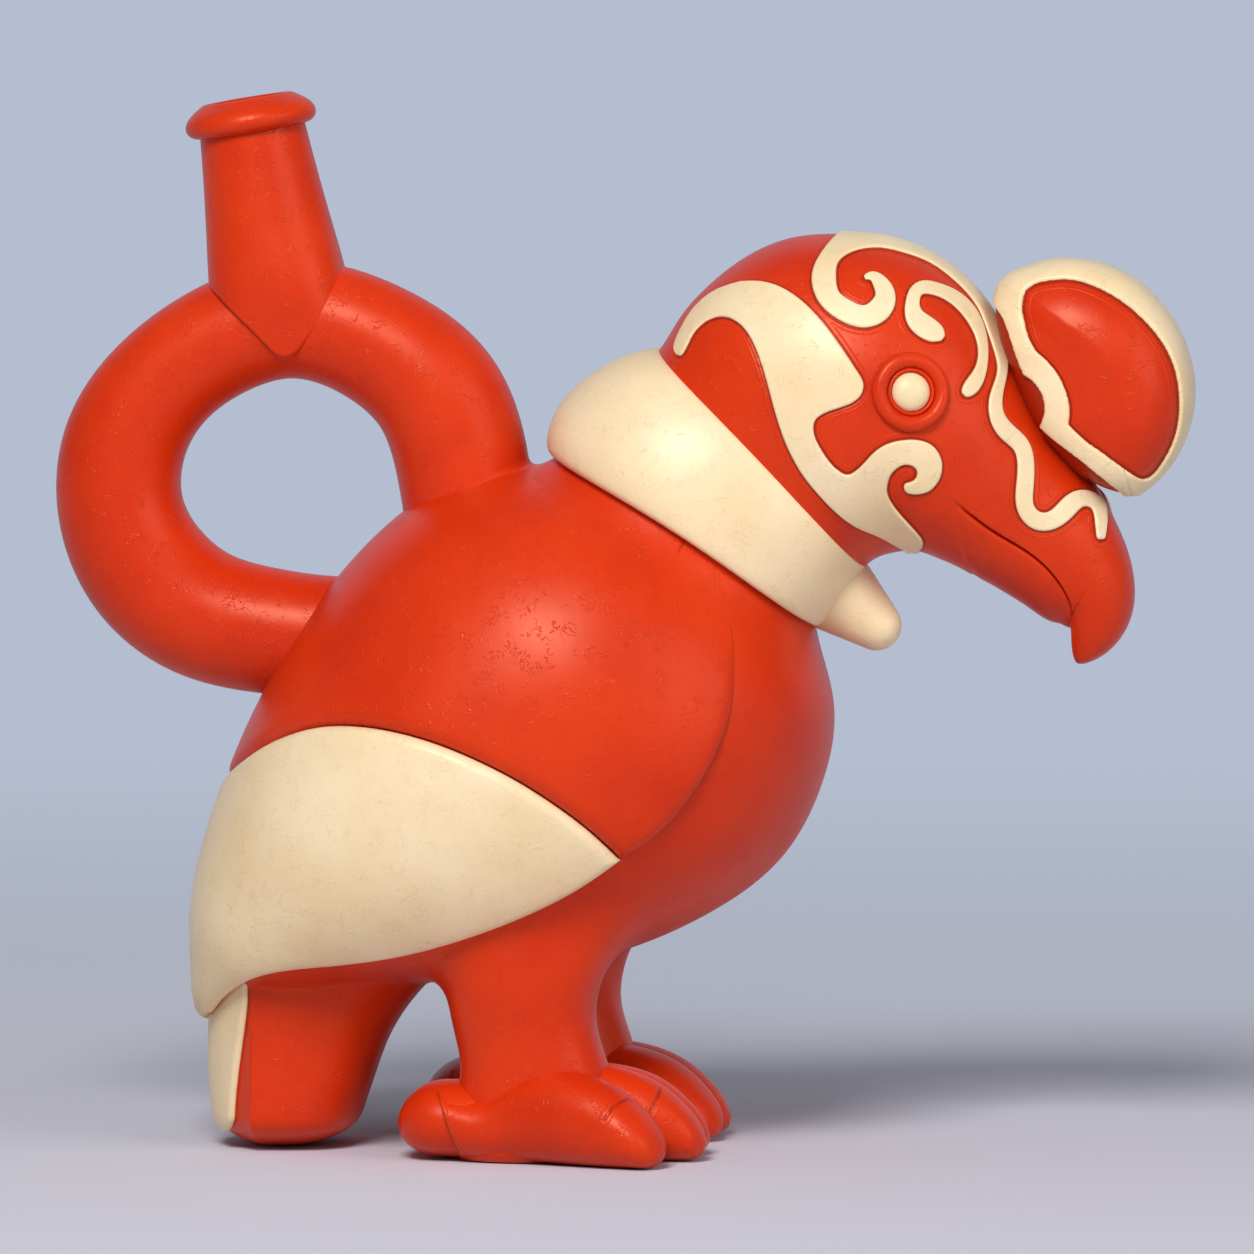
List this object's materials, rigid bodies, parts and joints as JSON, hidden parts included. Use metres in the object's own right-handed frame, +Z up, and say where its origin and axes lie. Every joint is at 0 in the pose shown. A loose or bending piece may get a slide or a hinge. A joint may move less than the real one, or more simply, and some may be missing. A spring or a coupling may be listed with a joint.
{
  "type": "stirrup-spout effigy bottle",
  "caption": "Hollow clay bottle shaped as a standing vulture, with a tubular stirrup handle and a single pouring spout on its back.",
  "frame": {"origin": "bottom centre of the overall box, on the surface that the feet stand on", "axes": "+Z up, +X towards the bird's beak, +Y towards the bird's left"},
  "size_m": [0.2118, 0.0958, 0.1962],
  "materials": {
    "red_slip": "burnished satin",
    "cream_slip": "burnished satin"
  },
  "bodies": {
    "root": {"right_body_half": "red_slip", "left_body_half": "red_slip", "right_wing_coverts": "red_slip", "left_wing_coverts": "red_slip", "right_leg": "red_slip", "left_leg": "red_slip", "right_hind_toe": "red_slip", "left_hind_toe": "red_slip", "right_outer_toe": "red_slip", "left_outer_toe": "red_slip", "right_middle_toe": "red_slip", "left_middle_toe": "red_slip", "right_inner_toe": "red_slip", "left_inner_toe": "red_slip", "right_head_half": "red_slip", "left_head_half": "red_slip", "right_eye_ring": "red_slip", "left_eye_ring": "red_slip", "tail": "red_slip", "stirrup_rear_arm": "red_slip", "stirrup_front_arm": "red_slip", "spout_tube": "red_slip", "spout_rim": "red_slip", "upper_bill": "red_slip", "lower_bill": "red_slip", "crest": "red_slip", "right_wing_primaries": "cream_slip", "left_wing_primaries": "cream_slip", "right_crest_border": "cream_slip", "left_crest_border": "cream_slip", "right_eye": "cream_slip", "left_eye": "cream_slip", "right_crown_scroll": "cream_slip", "left_crown_scroll": "cream_slip", "right_brow_scroll": "cream_slip", "left_brow_scroll": "cream_slip", "right_cheek_plate": "cream_slip", "left_cheek_plate": "cream_slip", "tail_stripe": "cream_slip", "collar": "cream_slip", "throat_wattle": "cream_slip"}
  },
  "joints": []
}
